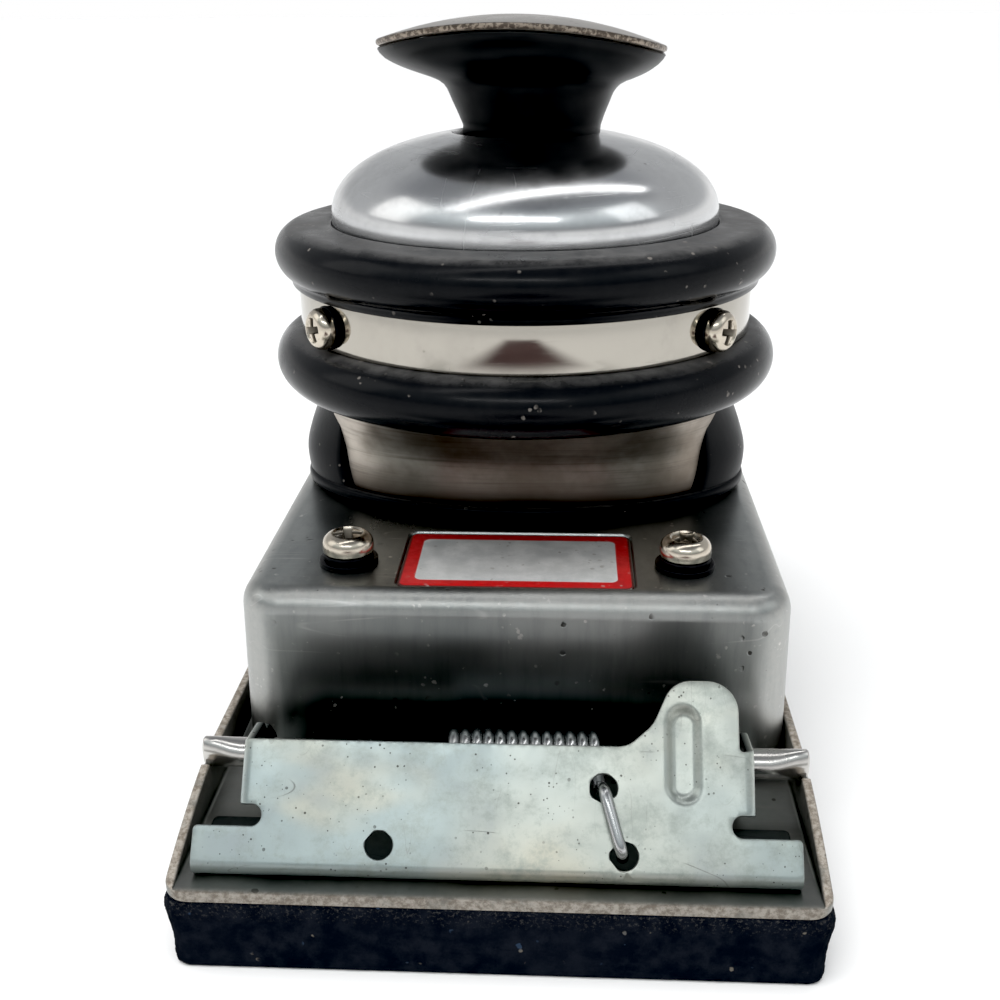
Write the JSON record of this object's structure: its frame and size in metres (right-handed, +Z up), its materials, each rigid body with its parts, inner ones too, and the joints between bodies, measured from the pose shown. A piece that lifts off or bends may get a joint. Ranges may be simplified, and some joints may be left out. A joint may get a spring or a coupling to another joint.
{
  "type": "orbital pad sander",
  "caption": "Air-powered orbital pad sander: palm knob over a round vane-motor housing with rubber bumper rings, on a boxy shroud and a rectangular pad with sprung paper clamps at both ends.",
  "frame": {"origin": "middle of the pad's bottom face, where the tool rests on the work", "axes": "+Z up out of the pad, +Y along the pad's length from the paper clamp with the label beside it towards the air inlet, +X to the right seen from the front clamp"},
  "size_m": [0.0936, 0.1778, 0.1272],
  "materials": {
    "cast_aluminium": "sand cast, satin polished on the faces",
    "label_red": "red border round a silver field",
    "nickel_screw": "nickel plated",
    "black_steel": "black oxide",
    "black_rubber": "satin, dusty",
    "gasket_paper": "fibre gasket",
    "brushed_aluminium": "brushed",
    "muffler_felt": "felt",
    "chrome_band": "bright",
    "polished_aluminium": "mirror polished, lightly scratched",
    "bearing_steel": "polished",
    "weight_iron": "machined",
    "machined_steel": "ground",
    "brass_fitting": "machined",
    "spring_steel": "bright wire",
    "vane_phenolic": "fabric-filled phenolic",
    "platen_steel": "bare sheet, rubbed",
    "black_felt": "felt-faced foam rubber, fuzzy",
    "rod_steel": "ground",
    "zinc_steel": "zinc plated, worn",
    "knob_black": "satin",
    "knob_plate": "nickel plated"
  },
  "bodies": {
    "housing": {"shroud": "cast_aluminium", "label_plate": "label_red", "shroud_screws": "nickel_screw", "shroud_lock_washers": "black_steel", "shroud_flat_washers": "black_steel", "rubber_posts": "black_rubber", "base_gasket": "gasket_paper", "motor_housing": "brushed_aluminium", "motor_screws": "black_steel", "grip_collar": "black_rubber", "lower_bumper_ring": "black_rubber", "exhaust_muffler": "muffler_felt", "exhaust_band": "chrome_band", "band_screws": "nickel_screw", "band_washers": "black_rubber", "upper_bumper_ring": "black_rubber", "cap_seal": "black_rubber", "dome_cap": "polished_aluminium", "shaft_seal": "black_rubber", "lower_bearing": "bearing_steel", "lower_end_plate": "weight_iron", "cylinder_liner": "machined_steel", "liner_pin": "machined_steel", "upper_end_plate": "weight_iron", "upper_bearing": "bearing_steel", "valve_body": "cast_aluminium", "valve_seal": "black_rubber", "inlet_bushing": "brass_fitting", "inlet_screen": "brass_fitting", "throttle_spring": "spring_steel"},
    "crank": {"crankshaft": "machined_steel", "rotor": "machined_steel", "vanes": "vane_phenolic", "rotor_key": "machined_steel", "rotor_nut": "black_steel", "counterweight": "weight_iron", "counterweight_screws": "black_steel"},
    "platen": {"platen": "platen_steel", "pad": "black_felt", "bearing_hub": "cast_aluminium", "hub_screws": "black_steel", "eccentric_bearing": "bearing_steel", "hub_circlip": "spring_steel", "post_screws": "nickel_screw", "front_rod": "rod_steel", "rear_rod": "rod_steel"},
    "clamp_front": {"front_clamp": "zinc_steel", "front_clamp_spring": "spring_steel"},
    "clamp_rear": {"rear_clamp": "zinc_steel", "rear_clamp_spring": "spring_steel"},
    "throttle": {"knob_stem": "knob_black", "knob_cap": "knob_plate", "knob_retaining_ring": "spring_steel", "valve_pin": "machined_steel"}
  },
  "joints": [
    {"name": "crank_spin", "type": "hinge", "parent": "housing", "child": "crank", "pos_m": [0.0012, 0, 0], "axis": [0, 0, 1], "continuous": true},
    {"name": "platen_orbit", "type": "hinge", "parent": "crank", "child": "platen", "pos_m": [0, 0, 0], "axis": [0, 0, 1], "continuous": true, "deforming": ["rubber_posts"]},
    {"name": "front_clamp_hinge", "type": "hinge", "parent": "platen", "child": "clamp_front", "pos_m": [0, -0.0645, 0.0205], "axis": [-1, 0, 0], "range_deg": [0, 32], "stiffness_Nm_per_rad": 0.15, "springref_deg": -28.65, "deforming": ["front_clamp_spring"]},
    {"name": "rear_clamp_hinge", "type": "hinge", "parent": "platen", "child": "clamp_rear", "pos_m": [0, 0.0645, 0.0205], "axis": [1, 0, 0], "range_deg": [0, 32], "stiffness_Nm_per_rad": 0.15, "springref_deg": -28.65, "deforming": ["rear_clamp_spring"]},
    {"name": "throttle_press", "type": "slide", "parent": "housing", "child": "throttle", "axis": [0, 0, -1], "range_m": [0, 0.002], "stiffness_N_per_m": 1500, "springref_m": -0.004, "deforming": ["throttle_spring"]}
  ],
  "couplings": [
    {"joint": "platen_orbit", "follows": "crank_spin", "ratio": -1}
  ]
}
